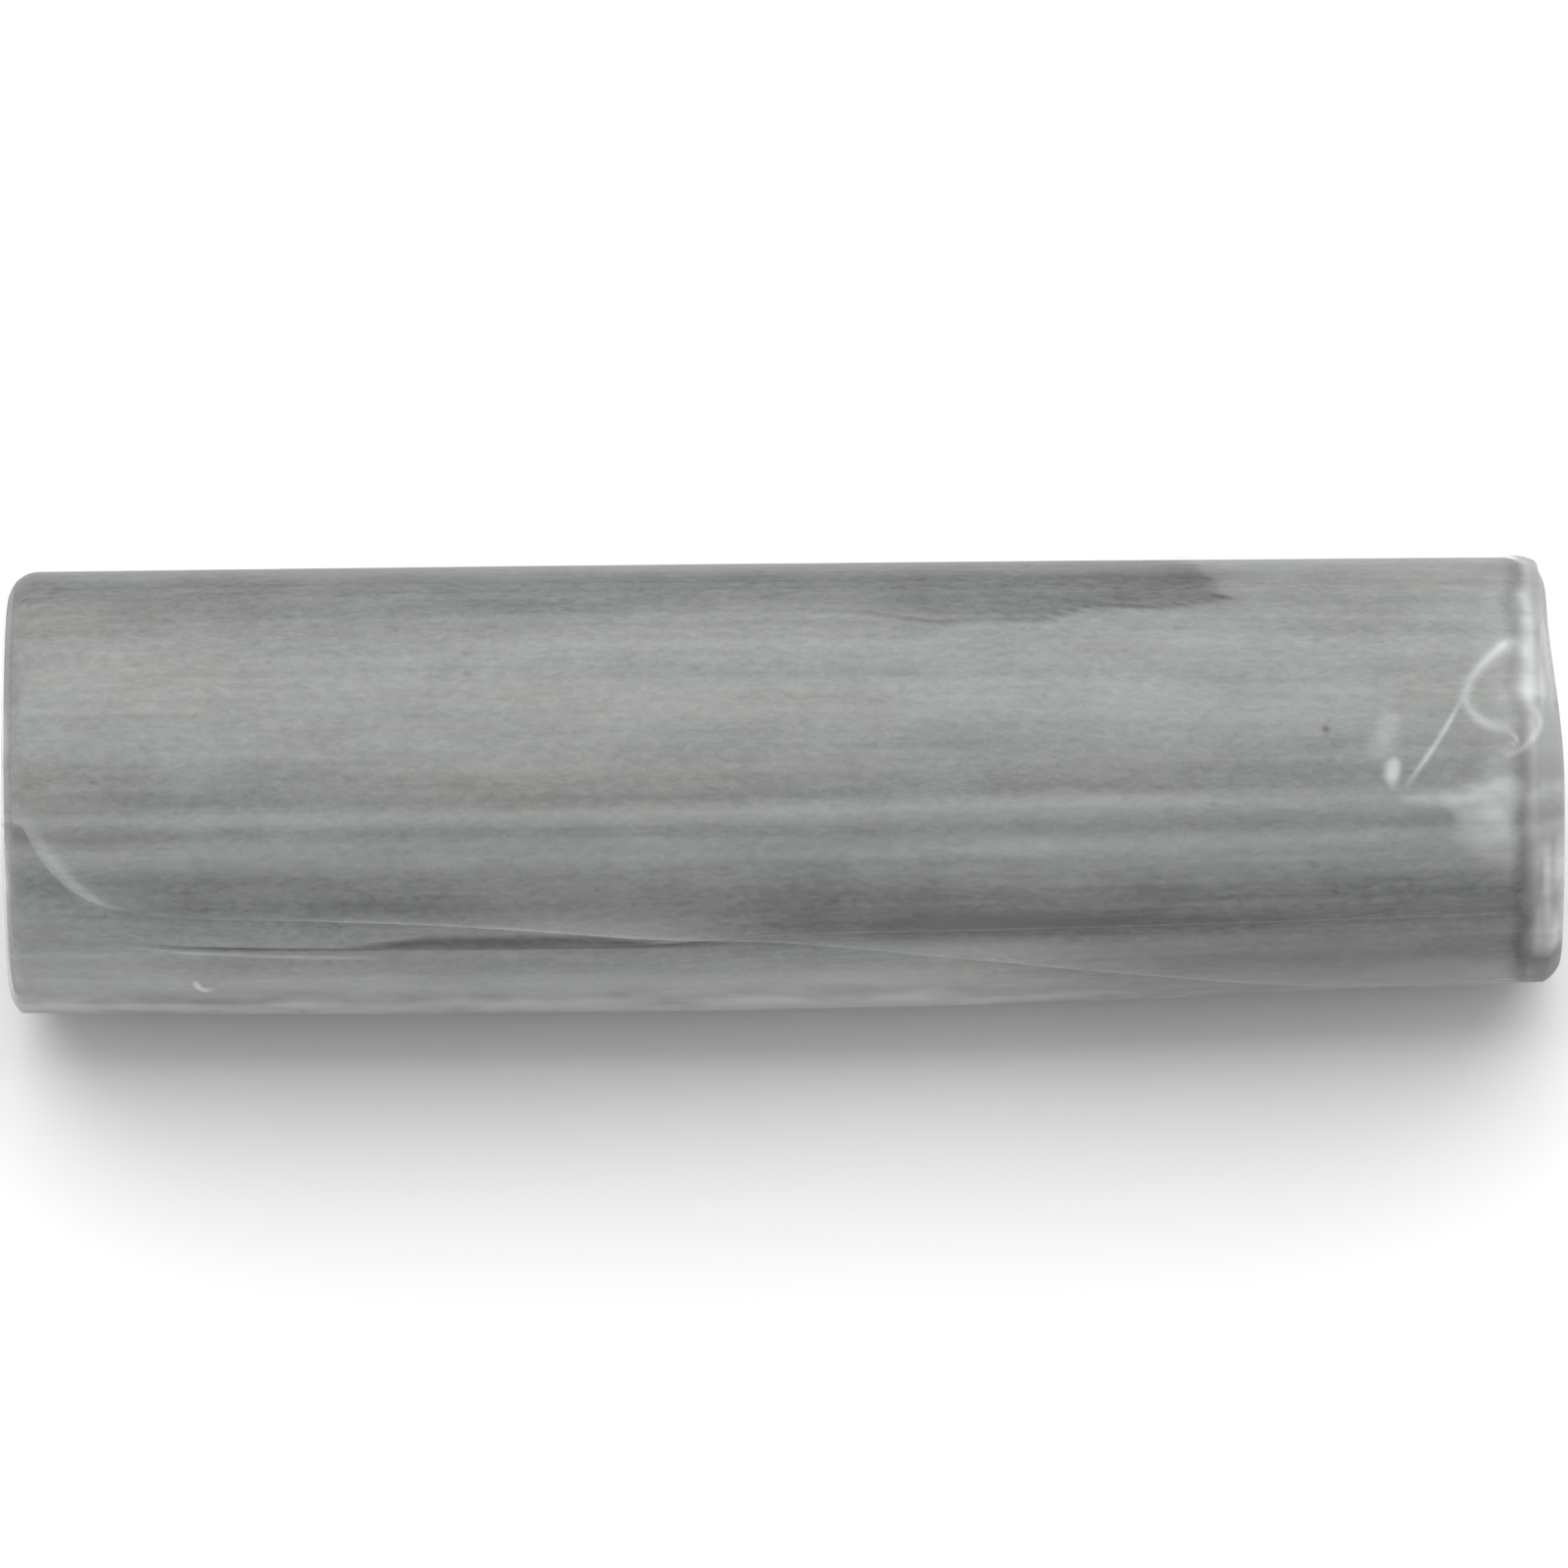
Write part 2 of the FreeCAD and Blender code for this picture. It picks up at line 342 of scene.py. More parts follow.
PAPER_GREY = (0.194, 0.201, 0.197)
WARM_LEAN = (1.0, 0.1, -1.0)  # how far each channel follows the fibre's warmth
DARKEST_SHADE = 0.06
PAPER_GRAIN, PASTE_GRAIN = 0.24, 0.12
PAPER_STREAKS, FILM_STREAKS = 0.85, 1.0
PASTE_YELLOW = (0.42, 0.39, 0.31)
CLEAR, STAINED = (0.98, 0.985, 0.98, 1), (0.34, 0.31, 0.26, 1)  # what the film lets through
GREY_MILK, WHITE_MILK = (0.10, 0.104, 0.101, 1), (0.86, 0.88, 0.87, 1)  # the body of milky film
MIRROR_SHARE = (0.03, 0.13)  # what the film mirrors, seen straight on and at a glance
GLOSS_ROUGHNESS = (0.30, 0.40)
MOST_MILK = 0.97


def paper_material(name, shade_and_smears):
    """Grey felted paper. With shade_and_smears, it also reads what is kept on the visible turn: painted shade and
    highlight bands, a painted shadow at the free edge, and handling smears.
    """
    material, nodes = new_material(name)
    grain = use_group(nodes, fibre, PAPER_GRAIN)
    shade = nodes.maths("ADD", grain["Tone"], use_group(nodes, streaks, PAPER_STREAKS)["Streak"])
    shade = nodes.maths("ADD", shade, 1.0)
    if shade_and_smears:
        shade = nodes.maths("ADD", shade, nodes.attribute("shade_and_smear_map"))
    shade = nodes.maths("MAXIMUM", shade, DARKEST_SHADE)
    levels = []
    for level, lean in zip(PAPER_GREY, WARM_LEAN):
        hue = nodes.maths("MULTIPLY_ADD", grain["Warmth"], lean, 1.0)
        levels.append(nodes.maths("MULTIPLY", nodes.maths("MULTIPLY", shade, level), hue))
    surface = nodes.add("ShaderNodeBsdfPrincipled", Base_Color=nodes.colour(levels), Roughness=0.92,
                        Specular_IOR_Level=0.25, Sheen_Weight=0.15, Normal=nodes.bump(grain["Height"], 0.5, 0.03))
    nodes.surface(surface.outputs["BSDF"])
    return material


def paste_material():
    """Dried starch paste: slightly yellow, with shrinkage mottling."""
    material, nodes = new_material("dried_paste")
    grain = use_group(nodes, fibre, PASTE_GRAIN)
    shade = nodes.maths("ADD", grain["Tone"], 1.0)
    levels = [nodes.maths("MULTIPLY", shade, level) for level in PASTE_YELLOW]
    rough = nodes.spread(grain["Height"], *NOISE_RANGE, 0.35, 0.6)
    surface = nodes.add("ShaderNodeBsdfPrincipled", Base_Color=nodes.colour(levels), Roughness=rough,
                        Normal=nodes.bump(grain["Height"], 0.4, 0.02))
    nodes.surface(surface.outputs["BSDF"])
    return material


def film_material():
    """Clear wrapping film: it mirrors a little, and goes milky where it is creased or stands off the paper; the milk
    it reads also carries painted highlights, glints and reflections.
    """
    material, nodes = new_material("clear_film")
    haze = nodes.noise((0.4, 0.7, 0.7), detail=2.0)
    normal = nodes.bump(haze, 0.3, 0.02)

    tint = nodes.blend(nodes.attribute("stain"), CLEAR, STAINED)
    clear = nodes.add("ShaderNodeBsdfTransparent", Color=tint)
    rough = nodes.spread(haze, *NOISE_RANGE, *GLOSS_ROUGHNESS)
    shine = nodes.add("ShaderNodeBsdfGlossy", Color=(1, 1, 1, 1), Roughness=rough, Normal=normal)
    slope = nodes.add("ShaderNodeLayerWeight", Blend=0.5, Normal=normal)
    steep = nodes.maths("POWER", slope.outputs["Facing"], 3.0)
    window = nodes.add("ShaderNodeMixShader", Fac=nodes.spread(steep, 0.0, 1.0, *MIRROR_SHARE))
    nodes.put(clear.outputs["BSDF"], window.inputs[1])
    nodes.put(shine.outputs["BSDF"], window.inputs[2])

    cloud = nodes.spread(haze, *NOISE_RANGE, 0.8, 1.2)
    cloud = nodes.maths("ADD", cloud, use_group(nodes, streaks, FILM_STREAKS)["Streak"])
    veil = nodes.maths("MULTIPLY", nodes.attribute("milk"), cloud)
    veil = nodes.maths("MINIMUM", nodes.maths("MAXIMUM", veil, 0.0), MOST_MILK)
    tone = nodes.blend(nodes.attribute("white"), GREY_MILK, WHITE_MILK)
    body = nodes.add("ShaderNodeBsdfPrincipled", Base_Color=tone, Roughness=0.4, Normal=normal)
    whole = nodes.add("ShaderNodeMixShader", Fac=veil)
    nodes.put(window.outputs["Shader"], whole.inputs[1])
    nodes.put(body.outputs["BSDF"], whole.inputs[2])
    nodes.surface(whole.outputs["Shader"])
    return material


outer_paper = paper_material("felt_paper_outer", shade_and_smears=True)
inner_paper = paper_material("felt_paper_inner", shade_and_smears=False)
paste = paste_material()
film = film_material()


# ---------------------------------------------------------------- the outer paper strip
SEAM_LIFT, SEAM_PRESS = 0.16, 0.44
LIFT_BACK, PRESS_BACK = math.radians(13), math.radians(8)  # how far round from the free edge they reach
PAPER_WAVES = 0.012
VISIBLE_TURN = math.radians(363)  # the part of the strip that carries the painted shade bands and handling smears
STRIP_COLUMNS = 211
RIM_LAYERS = 5  # steps through the sheet's thickness at each rounded rim


def seam_lift(x):
    """How far the paper's free edge stands up: it has come loose over part of the length."""
    return SEAM_LIFT * between(x, -29.5, -22, -9, -2)


def seam_press(x):
    """How far the free edge is felted down into the turn below it, elsewhere."""
    return SEAM_PRESS * (1 - between(x, -31.5, -27, -7, 2))


def free_edge_depth(x, back, side):
    """How deep a face of the outer strip lies: side 0 is its outer face, 1 its inner one."""
    depth = PAPER_THICKNESS * side - seam_lift(x) * bell(back, LIFT_BACK)
    if side == 0:
        depth = depth + seam_press(x) * bell(back, PRESS_BACK)
    return depth


def half_turn_points(x, back, depth):
    """Points of the winding, `back` round from the outer end and `depth` under its outer face."""
    k = np.minimum(np.floor(back / math.pi + 1e-9), OUTER_HALF_TURNS - 1)
    grown = roll_radius(x) / ROLL_RADIUS
    shift = -(k % 2) * PITCH / 2
    radius = ROLL_RADIUS - k * PITCH / 2 - depth
    angle = SEAM - back
    y = shift * math.cos(SEAM) + radius * np.cos(angle)
    z = shift * math.sin(SEAM) + radius * np.sin(angle)
    return y * grown, z * grown, radius


def rim_reach(radius):
    """Half the paper's length at a radius: the outer turns are pressed back at the rounded rims."""
    into = np.clip(radius - (ROLL_RADIUS - EDGE_RADIUS), 0, EDGE_RADIUS)
    return HALF_LENGTH - EDGE_RADIUS + np.sqrt(EDGE_RADIUS**2 - into**2)


def winding_steps():
    """Angles back from the strip's outer end, closest together near its free edge and one turn further in."""
    innermost = 180 * OUTER_HALF_TURNS
    return np.radians(np.concatenate([
        np.arange(0, 60, 0.75), np.arange(60, 336, 2.0), np.arange(336, 366, 0.75),
        np.arange(366, innermost, 9.0), [innermost],
    ]))


def strip_points(share, back, depth):
    """Points of the strip and the painted shade and smears on them; share runs from -1 at its left end to 1 at its
    right end.
    """
    y, z, radius = half_turn_points(ROLL_MIDDLE + share * HALF_LENGTH, back, depth)
    x = ROLL_MIDDLE + share * rim_reach(radius)
    shade_and_smears = shade_bands_and_smears(x, degrees_down_at(SEAM - back)) * (back < VISIBLE_TURN)
    return np.stack([x, axis_y(x) + y, axis_z(x) + z], axis=-1), shade_and_smears


def build_outer_sheet():
    back = winding_steps()
    along = np.linspace(-1, 1, STRIP_COLUMNS)
    parts = []
    for side, turns in ((0, back), (1, back[::-1])):
        b, share = np.meshgrid(turns, along, indexing="ij")
        x = ROLL_MIDDLE + share * HALF_LENGTH
        depth = free_edge_depth(x, b, side)
        if side == 0:
            depth += (PAPER_WAVES + PAPER_WAVES * drift(x, SEAM - b, (9, 2.0), 3.1)) * (b < 2 * math.pi)
        parts.append(strip_points(share, b, depth))
    loops, columns = 2 * len(back), len(along)
    faces = grid_faces(loops, columns, wrap=True)

    made = loops * columns
    outer = np.arange(len(back))
    inner = loops - 1 - outer
    for end, column in ((-1.0, 0), (1.0, columns - 1)):
        share = np.full(len(back), end)
        x = ROLL_MIDDLE + share * HALF_LENGTH
        start, stop = free_edge_depth(x, back, 0), free_edge_depth(x, back, 1)
        ladder = [outer * columns + column]
        for layer in np.linspace(0, 1, RIM_LAYERS + 1)[1:-1]:
            parts.append(strip_points(share, back, start + layer * (stop - start)))
            ladder.append(made + outer)
            made += len(back)
        ladder.append(inner * columns + column)
        rungs = np.stack(ladder)
        quads = np.stack([rungs[:-1, :-1], rungs[1:, :-1], rungs[1:, 1:], rungs[:-1, 1:]], axis=-1).reshape(-1, 4)
        faces += (quads if end > 0 else quads[:, ::-1]).tolist()
    piece = add_mesh("outer_paper_strip", np.concatenate([p.reshape(-1, 3) for p, _ in parts]), faces, outer_paper)
    paint(piece, "shade_and_smear_map", np.concatenate([shade_and_smears.ravel() for _, shade_and_smears in parts]))
    return piece


# the lower edge of the place on top where the film clings to the paper: mm along the roll and degrees down
CLING_PLACES = (-34, -25, -12, -6, -1, 4, 7.2, 11.5, 13.6, 16.5, 19.1, 19.7)
CLING_LIMITS = (-49, -47, -48, -50, -54, -50, -46.7, -47, -51.5, -51, -53.5, -56)


def cling_limit(x):
    return np.interp(x, CLING_PLACES, CLING_LIMITS) + 0.3 * np.sin(x / 3.1) + 0.35 * np.sin(x / 0.9 + 1)


def tongue_top(x):
    """Degrees down of the upper edge of the clinging film, which closes in to a rounded tip at its right end."""
    return np.interp(x, (16.8, 17.9, 18.8, 19.4, 19.8), (-112, -79, -66, -58, -46))


def clings(x, degrees_down):
    """1 where the film clings to the top of the paper, 0 where it stands off it."""
    limit, top = cling_limit(x), tongue_top(x)
    soft = 16 - 14 * smooth_step(3, 9, x)
    return between(degrees_down, top - 6, top + 6, limit - soft, limit + soft)


# painted shade (-) and painted highlight (+) bands: degrees down, width in degrees, how much darker (-) or lighter
# (+), wander in degrees, from x to x
PAINTED_SHADE_BANDS = (
    (-68.0, 12.0, -0.20, 0.5, -40, 40),
    (-20.0, 9.0, 0.24, 1.0, 10, 40),
    (18.0, 8.0, -0.16, 1.0, -40, 6),
    (38.0, 9.0, -0.20, 1.0, -4, 12),
    (11.0, 1.6, -0.16, 0.5, -6, 24),
    (-37.0, 5.0, -0.06, 1.5, -40, -6),
    (-7.5, 4.0, 0.14, 1.0, -40, -6),
    (-2.5, 2.2, -0.10, 1.0, -40, 40),
    (1.6, 1.8, -0.17, 1.2, -40, 40),
    (-13.5, 6.0, 0.13, 1.0, -40, -12),
    (-66.0, 7.0, -0.18, 0.5, -4, 22),
    (-21.0, 2.4, 0.04, 3.0, -40, 40),
    (6.2, 2.3, 0.32, 0.6, -40, 40),
    (11.2, 1.9, -0.24, 0.7, -40, 40),
    (16.3, 1.7, 0.16, 0.8, -40, 40),
    (22.5, 3.2, -0.20, 0.8, -40, 40),
    (31.5, 8.5, -0.46, 1.5, -28, 40),
    (28.0, 1.4, -0.08, 1.4, -40, 40),
    (36.0, 1.2, 0.08, 1.0, -40, 40),
    (43.0, 7.5, -0.58, 1.0, -4, 40),
    (59.0, 10.0, -0.80, 1.0, 12, 40),
    (50.0, 3.0, 0.12, 1.0, -40, -6),
    (57.5, 1.6, -0.08, 1.5, -40, 10),
    (66.0, 6.5, 0.24, 1.5, -40, 8),
)
SMEARS = (  # x, degrees down, half sizes in mm along and round the roll, how much darker
    (-30.5, 13.0, 2.2, 0.45, 0.16),
    (-28.4, 6.0, 2.5, 1.2, 0.05),
    (-20.0, 29.0, 7.0, 0.8, 0.08),
    (-17.4, -46.0, 0.3, 0.16, 0.30),
    (-0.5, -58.0, 0.7, 0.25, 0.22),
    (3.7, -46.0, 0.3, 0.2, 0.18),
    (26.2, -50.0, 0.6, 0.2, 0.13),
)


def shade_bands_and_smears(x, degrees_down):
    """Lengthwise painted shade and highlight bands on the outer turn, a painted shadow under its lifted free edge and
    painted shade below the seam, darker paper where the film clings, and handling smears.
    """
    # painted shadow in the gap under the lifted free edge
    lifted_edge_shadow = between(x, -29, -24, -7, -1.5)
    opening = between(x, -22, -15, -9.5, -2.5)
    shaded = between(degrees_down, SEAM_DOWN + 1.0 - 5.6 * opening, SEAM_DOWN + 2.6 - 4.9 * opening,
                     SEAM_DOWN + 4.0, SEAM_DOWN + 5.0)
    total = -0.88 * lifted_edge_shadow * shaded
    # painted shade below the seam on the right half
    stop = SEAM_DOWN + 1 + 5 * smooth_step(-2, 32, x)
    total = total - 0.16 * smooth_step(-3, 6, x) * between(degrees_down, 36, 41, stop - 0.8, stop + 0.8)
    total = total - 0.23 * clings(x, degrees_down)
    for i, (centre, width, strength, wander, begins, ends) in enumerate(PAINTED_SHADE_BANDS):
        shift = wander * np.sin(x / 13 + 1.9 * i) + 0.3 * wander * np.sin(x / 4.1 + 0.7 * i)
        fade = 0.9 + 0.2 * np.sin(x / 12 + 2.7 * i)
        reach = between(x, begins - 5, begins + 5, ends - 5, ends + 5)
        total += strength * fade * reach * bell(degrees_down - centre - shift, width)
    for px, py, along, around, dark in SMEARS:
        total -= dark * spot(x, degrees_down, (px, py), (along, around))
    return total


strip = build_outer_sheet()
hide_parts("outer_sheet")


def dress(names, material):
    """Gives a material to CAD pieces that stay as they are."""
    for name in names:
        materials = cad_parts[name].data.materials
        materials.clear()
        materials.append(material)


dress(("middle_sheet", "inner_sheet"), inner_paper)
dress(("outer_paste_line", "middle_paste_line", "inner_paste_line"), paste)


# ---------------------------------------------------------------- the film
INNER_EDGE = 5.5  # degrees down, where the film starts, under its own lap
OUTLINE_POINTS = 961


def lap_edge(x):
    """Degrees down of the film's free edge: askew along the roll, and drawn up at the left end's corner."""
    askew = 61 * np.clip((x + 24) / 57, 0, 1.05) ** 1.9
    corner = 31 * np.exp(-(x + 34) / 1.9)
    return 34 + askew - np.clip(corner, 0, 26)


def turns_left(a, b, c):
    """More than 0 where the way from a by b to c turns left."""
    return (b[0] - a[0]) * (c[1] - a[1]) - (b[1] - a[1]) * (c[0] - a[0])


def stretched_outline(x):
    """The shape the stretched film takes round the paper at one place: the outline's hull, as angles and radii."""
    back = np.linspace(0, 2 * math.pi, OUTLINE_POINTS)
    y, z, _ = half_turn_points(x, back, free_edge_depth(x, back, 0))
    points = sorted(set(zip(y.round(6), z.round(6))))
    hull = []
    for run in (points, points[::-1]):
        chain = []
        for p in run:
            while len(chain) > 1 and turns_left(chain[-2], chain[-1], p) <= 0:
                chain.pop()
            chain.append(p)
        hull += chain[:-1]
    hull = np.array(hull)
    angle = np.mod(np.arctan2(hull[:, 1], hull[:, 0]), 2 * math.pi)
    order = np.argsort(angle)
    return angle[order], np.hypot(hull[:, 0], hull[:, 1])[order]


def film_reach(x, angle):
    """The radius of the stretched film for each point of a grid whose rows are stations along the roll."""
    reach = np.empty_like(angle)
    for row, place in enumerate(x[:, 0]):
        around, radius = stretched_outline(place)
        around = np.concatenate([around[-1:] - 2 * math.pi, around, around[:1] + 2 * math.pi])
        radius = np.concatenate([radius[-1:], radius, radius[:1]])
        wanted = np.mod(angle[row], 2 * math.pi)
        i = np.clip(np.searchsorted(around, wanted, side="right") - 1, 0, len(around) - 2)
        step, into = around[i + 1] - around[i], wanted - around[i]
        side = radius[i] * np.sin(into) + radius[i + 1] * np.sin(step - into)
        reach[row] = radius[i] * radius[i + 1] * np.sin(step) / side
    return reach


RIDGES = (  # degrees down, drift along the roll, width in degrees, height in mm
    (-41, 5, 5.0, 0.050),
    (-16, 2, 3.2, 0.022),
    (-6, 3, 3.0, -0.030),
    (5.5, 1, 1.5, 0.030),
    (12, 2, 2.2, -0.028),
    (17.5, 1, 1.6, 0.026),
    (27, 3, 3.0, -0.030),
    (52, 2, 3.0, 0.028),
    (64, 2, 3.0, -0.020),
)


def film_ridges(x, degrees_down):
    """Long shallow tension folds in the film."""
    total = np.zeros_like(degrees_down)
    for i, (centre, wander, width, height) in enumerate(RIDGES):
        shift = 0.5 * wander * np.sin(x / 17 + 1.7 * i)
        strength = 0.7 + 0.3 * np.sin(x / 11 + 2.3 * i)
        total += height * strength * bell(degrees_down - centre - shift, width)
    return total


def path_distance(x, degrees_down, points):
    """Distance in mm over the surface to a bent line, and how far along it the nearest point is, from 0 to 1."""
    px, py = x, degrees_down * ARC
    best = np.full(x.shape, np.inf)
    where = np.zeros(x.shape)
    route = [(a, b * ARC) for a, b in points]
    total = sum(math.dist(a, b) for a, b in zip(route, route[1:]))
    done = 0.0
    for (ax, ay), (bx, by) in zip(route, route[1:]):
        length = math.dist((ax, ay), (bx, by))
        t = np.clip(((px - ax) * (bx - ax) + (py - ay) * (by - ay)) / length**2, 0, 1)
        d = np.hypot(px - ax - t * (bx - ax), py - ay - t * (by - ay))
        near = d < best
        best = np.where(near, d, best)
        where = np.where(near, (done + t * length) / total, where)
        done += length
    return best, where


def rounded(points, steps=6):
    """A smooth line through a few given points."""
    p = np.array([points[0], *points, points[-1]], float)
    out = []
    for i in range(1, len(p) - 2):
        for t in np.linspace(0, 1, steps, endpoint=False):
            out.append(0.5 * ((2 * p[i]) + (p[i + 1] - p[i - 1]) * t
                              + (2 * p[i - 1] - 5 * p[i] + 4 * p[i + 1] - p[i + 2]) * t**2
                              + (3 * p[i] - p[i - 1] - 3 * p[i + 1] + p[i + 2]) * t**3))
    out.append(p[-2])
    return [tuple(q) for q in out]


CREASES = (  # (x, degrees down) along the crease, width and height in mm, whiteness: part stress whitening, part painted highlight
    ([(32.5, -38), (31.7, -34), (30.6, -26.5), (30.15, -20), (30.5, -15.3), (31.2, -12), (31.95, -11.2)],
     0.27, 0.12, 0.28),
    ([(33.3, -17), (33.45, -13.5), (33.2, -9.7), (32.5, -5.7), (31.9, -4.2)], 0.13, 0.06, 0.27),
    ([(32.2, -10.3), (32.4, -8.5), (32.2, -6.8)], 0.11, 0.07, 0.30),
    ([(27.5, 2.8), (28.9, -8.5), (30.0, -19.6)], 0.10, 0.06, 0.36),
    ([(-34.3, -3), (-33.8, 4), (-33.2, 10), (-32.2, 19), (-30.9, 27), (-29.4, 33)], 0.40, 0.04, 0.055),
    ([(-33.4, 8), (-32.8, 13.5), (-32.0, 20), (-31.2, 25), (-29.8, 31)], 0.20, 0.02, 0.05),
    ([(-29.0, 44.6), (-26, 45.6), (-22, 47.0), (-18, 47.6)], 0.12, 0.03, 0.22),
    ([(-26.2, 61), (-26.1, 64), (-25.8, 65.5), (-25.5, 65)], 0.15, 0.05, 0.40),
)
REFLECTION_PATCHES = (  # painted reflections and highlights on the film's facets: x, degrees down, half sizes in mm along and round the roll, whiteness
    (26.9, -0.6, 0.34, 0.60, 0.42),
    (26.7, -11.8, 0.5, 0.9, 0.13),
    (26.3, -7.5, 0.6, 0.6, 0.10),
    (32.3, -35.0, 0.6, 0.5, 0.08),
    (29.0, 6.6, 1.5, 0.35, 0.16),
    (30.6, 7.2, 1.3, 0.8, 0.13),
    (31.6, 6.0, 1.0, 1.4, 0.11),
    (30.9, 13.5, 1.1, 1.2, 0.11),
    (31.9, 3.4, 0.8, 0.35, 0.10),
    (32.4, -20.5, 0.8, 0.5, 0.08),
)


LAP_STEP = 0.055  # how far the upper film layer stands over the lower one
LEFT_PROUD, RIGHT_PROUD = 0.12, 1.04  # how far the film stands off the end faces
END_SLACK = 0.55  # how much less it stands off the right end face at the back
HANG, BACK_BULGE = 0.30, 0.10  # how far it stands off the paper low on the front, and behind the top
FLOOR_CLEARANCE = 0.03
FILM_WAVES = 0.012
LEFT_PLEATS, RIGHT_PLEATS = 11, 9  # round each end face


def end_tone(x, degrees_down):
    """How white the loose film is at the right rim: pressed milky in places, elsewhere the grey end shows."""
    upper = (1 - smooth_step(-21.8, -19.6, degrees_down)) * smooth_step(-60, -44, degrees_down)
    upper = upper * smooth_step(32.0, 33.0, x) * 0.10
    lower = between(degrees_down, 16, 24, 56, 66) * smooth_step(32.9, 33.7, x)
    streak = 0.5 + 0.8 * drift(x, np.radians(degrees_down), (0.35, 2.5), 4.4)
    grey = 0.42 - 0.14 * smooth_step(33.0, 33.4, x)
    # the grey follows the painted shade bands of the paper
    grey = grey * np.clip(1 + 1.1 * shade_bands_and_smears(np.full_like(x, 30), degrees_down), 0.25, 2)
    return np.clip(grey + upper * (0.2 + 1.6 * streak) + lower * (0.13 + 0.28 * streak), 0, 1)


def film_profile():
    """Stations from the middle of the left end round to the middle of the right end: x and how far inside the wrap."""
    left, right = ROLL_MIDDLE - HALF_LENGTH, ROLL_MIDDLE + HALF_LENGTH
    body = np.concatenate([
        np.arange(left + EDGE_RADIUS, left + 7.4, 0.25), np.arange(left + 7.4, left + 9.6, 0.12),
        np.arange(left + 9.6, right - 10.4, 0.6), np.arange(right - 10.4, right - EDGE_RADIUS, 0.10),
    ])
    across_face = np.linspace(0, 1, 26)[1:-1]
    ends = {}
    for side, edge_x, proud, steps in ((-1, left, LEFT_PROUD, 12), (1, right, RIGHT_PROUD, 26)):
        turn = np.linspace(0, math.pi / 2, steps)[1:]
        rim_x = edge_x - side * EDGE_RADIUS + side * (EDGE_RADIUS + proud) * np.sin(turn)
        rim_in = EDGE_RADIUS * (1 - np.cos(turn))
        face_x = np.full_like(across_face, edge_x + side * proud)
        face_in = EDGE_RADIUS + across_face * (ROLL_RADIUS - EDGE_RADIUS)
        ends[side] = (np.concatenate([rim_x, face_x]), np.concatenate([rim_in, face_in]))
    x = np.concatenate([ends[-1][0][::-1], body, ends[1][0]])
    inset = np.concatenate([ends[-1][1][::-1], np.zeros_like(body), ends[1][1]])
    return x, inset


class FilmGrid:
    """The film's points: rows are stations along the roll, columns go round it from the free edge to the inner one."""

    def __init__(self):
        stations, inset = film_profile()
        share = np.concatenate([
            np.linspace(0, 0.45, 290, endpoint=False), np.linspace(0.45, 0.8, 60, endpoint=False),
            np.linspace(0.8, 1, 80),
        ])
        self.x, share = np.meshgrid(stations, share, indexing="ij")
        self.inset = np.broadcast_to(inset[:, None], self.x.shape)
        self.into_rim = self.inset / EDGE_RADIUS  # 0 along the roll, 1 where an end face begins
        self.held = np.clip(self.x, ROLL_MIDDLE - HALF_LENGTH, ROLL_MIDDLE + HALF_LENGTH)  # x over the paper
        self.edge = lap_edge(self.held)
        self.degrees = self.edge - share * (360 + self.edge - INNER_EDGE)
        self.below = within_half_turn(self.degrees)  # degrees down
        self.angle = down(self.degrees)
        self.right = self.x > 0
        self.over = smooth_step(INNER_EDGE - 3.5, INNER_EDGE - 0.5, self.degrees)  # 1 where this is the upper layer
        self.face = smooth_step(EDGE_RADIUS * 0.98, EDGE_RADIUS + 1.8, self.inset)  # 1 on the end faces
        self.core = np.clip((ROLL_RADIUS - self.inset) / ROLL_RADIUS, 0, 1)  # 1 at the rim, 0 in the middle of an end
        # 1 where the film hangs free of the paper, low on the front
        self.hang = between(self.below, 56, 80, 112, 128) * (1 - 0.6 * smooth_step(5, 28, self.held))


def crease_relief(g):
    """How high the film stands in its creases, and how milky the creases are (part stress whitening, part painted
    highlight), with painted reflection patches.
    """
    height_map, milk = np.zeros_like(g.x), np.zeros_like(g.x)
    for points, width, height, whiteness in CREASES:
        near = (g.x > min(p[0] for p in points) - 1) & (g.x < max(p[0] for p in points) + 1)
        distance, along = path_distance(g.x[near], g.below[near], rounded(points))
        fade = np.clip(4 * along * (1 - along) + 0.35, 0, 1)
        height_map[near] += height * fade * bell(distance, width)
        milk[near] += whiteness * fade * bell(distance, width)
    ragged = 0.3 * drift(g.held, g.angle, (0.7, 0.7), 5.0)
    for px, py, along, around, whiteness in REFLECTION_PATCHES:
        reach = reach_from(g.x, g.below, (px, py), (along, around))
        milk += whiteness * (1 - smooth_step(0.4, 1.5, reach + ragged))
    return height_map, milk


def film_radius(g, height_map):
    """Distance of the film from the roll's axis: stretched over the paper, and closing in over the end faces."""
    proud = HANG * g.hang + BACK_BULGE * between(g.below, -125, -105, -75, -60)
    radius = film_reach(g.held, g.angle) + FILM_SLACK + LAP_STEP * g.over
    radius += film_ridges(g.held, g.below) * (1 - smooth_step(0, 0.6, g.into_rim))
    radius += FILM_WAVES * drift(g.held, g.angle, (14, 1.3), 7.7)
    radius += proud
    radius += height_map
    widest = ROLL_RADIUS + FILM_SLACK + LAP_STEP * g.over - (ROLL_RADIUS - roll_radius(g.held)) * g.core
    widest = widest + proud * np.clip(1 - g.into_rim, 0, 1)
    return np.where(g.inset > 0, np.clip(np.minimum(radius, widest - g.inset), 0, None), radius)


